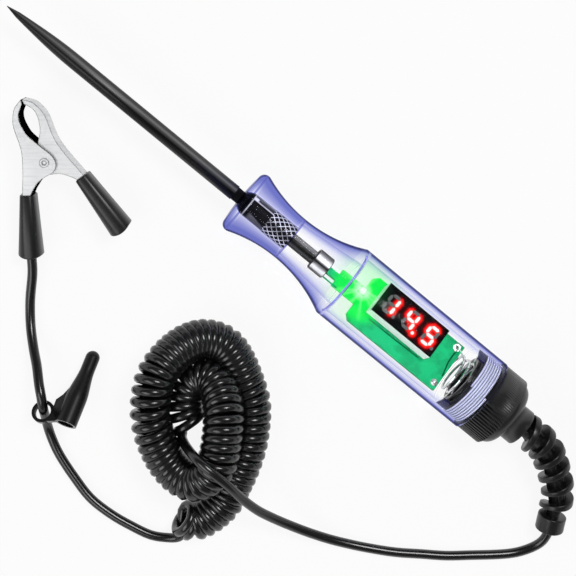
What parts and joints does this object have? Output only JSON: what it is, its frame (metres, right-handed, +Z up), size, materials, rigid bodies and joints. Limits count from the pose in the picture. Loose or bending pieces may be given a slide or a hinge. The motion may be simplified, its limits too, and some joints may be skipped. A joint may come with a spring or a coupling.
{
  "type": "test light",
  "caption": "Hand-held test light with a long probe, a clear handle with a digital display, a curly cord and a ground clip.",
  "frame": {"origin": "on the floor under the middle of the handle and probe together, cord left out", "axes": "+X along the handle's axis towards the probe's point, +Y towards the cord and the clip, +Z up from the floor on which the test light lies"},
  "size_m": [0.229, 0.1135, 0.0246],
  "materials": {
    "black_steel": "blackened steel, satin",
    "plated_metal": "nickel plated, bright",
    "clear_plastic": "clear moulded plastic with a violet blue tint, glossy",
    "green_board": "green solder mask",
    "display_body": "light grey moulded case",
    "display_black": "dark face of the display",
    "segment_red": "lit red segment",
    "segment_grey": "unlit segment",
    "tinned_metal": "tinned",
    "led_lens": "lit green lamp",
    "chip_black": "moulded component body",
    "can_metal": "sleeved can",
    "black_plastic": "black moulded plastic, satin",
    "terminal_brass": "turned",
    "black_rubber": "soft black rubber, satin",
    "cord_rubber": "glossy black cord jacket",
    "clip_steel": "nickel plated pressed steel"
  },
  "bodies": {
    "tester": {"probe_needle": "black_steel", "probe_ferrule": "black_steel", "contact_rod": "black_steel", "contact_cup": "plated_metal", "handle_shell": "clear_plastic", "circuit_board": "green_board", "display_case": "display_body", "display_face": "display_black", "lit_segments": "segment_red", "unlit_segments": "segment_grey", "display_pins": "tinned_metal", "status_led": "led_lens", "driver_chip": "chip_black", "voltage_regulator": "chip_black", "chip_resistors": "chip_black", "filter_capacitor": "can_metal", "solder_joints": "tinned_metal", "contact_spring": "plated_metal", "spring_seat": "black_plastic", "cord_terminal": "terminal_brass", "rear_cap": "black_plastic", "strain_relief": "black_rubber", "cord_to_coil": "cord_rubber", "cord_coil": "cord_rubber", "cord_to_clip": "cord_rubber", "tip_cover": "black_rubber", "clip_jaw_fixed": "clip_steel", "clip_rivet": "clip_steel", "clip_spring": "plated_metal", "clip_boot_cable": "black_rubber", "cable_crimp": "terminal_brass"},
    "clip_half": {"clip_jaw_moving": "clip_steel", "clip_boot_free": "black_rubber", "clip_spring_leg": "plated_metal"}
  },
  "joints": [
    {"name": "clip_opening", "type": "hinge", "parent": "tester", "child": "clip_half", "pos_m": [0.062, 0.0278, 0.0089], "axis": [0.0479, -0.1527, -0.9871], "range_deg": [0, 25], "stiffness_Nm_per_rad": 0.02, "springref_deg": -28.65}
  ]
}
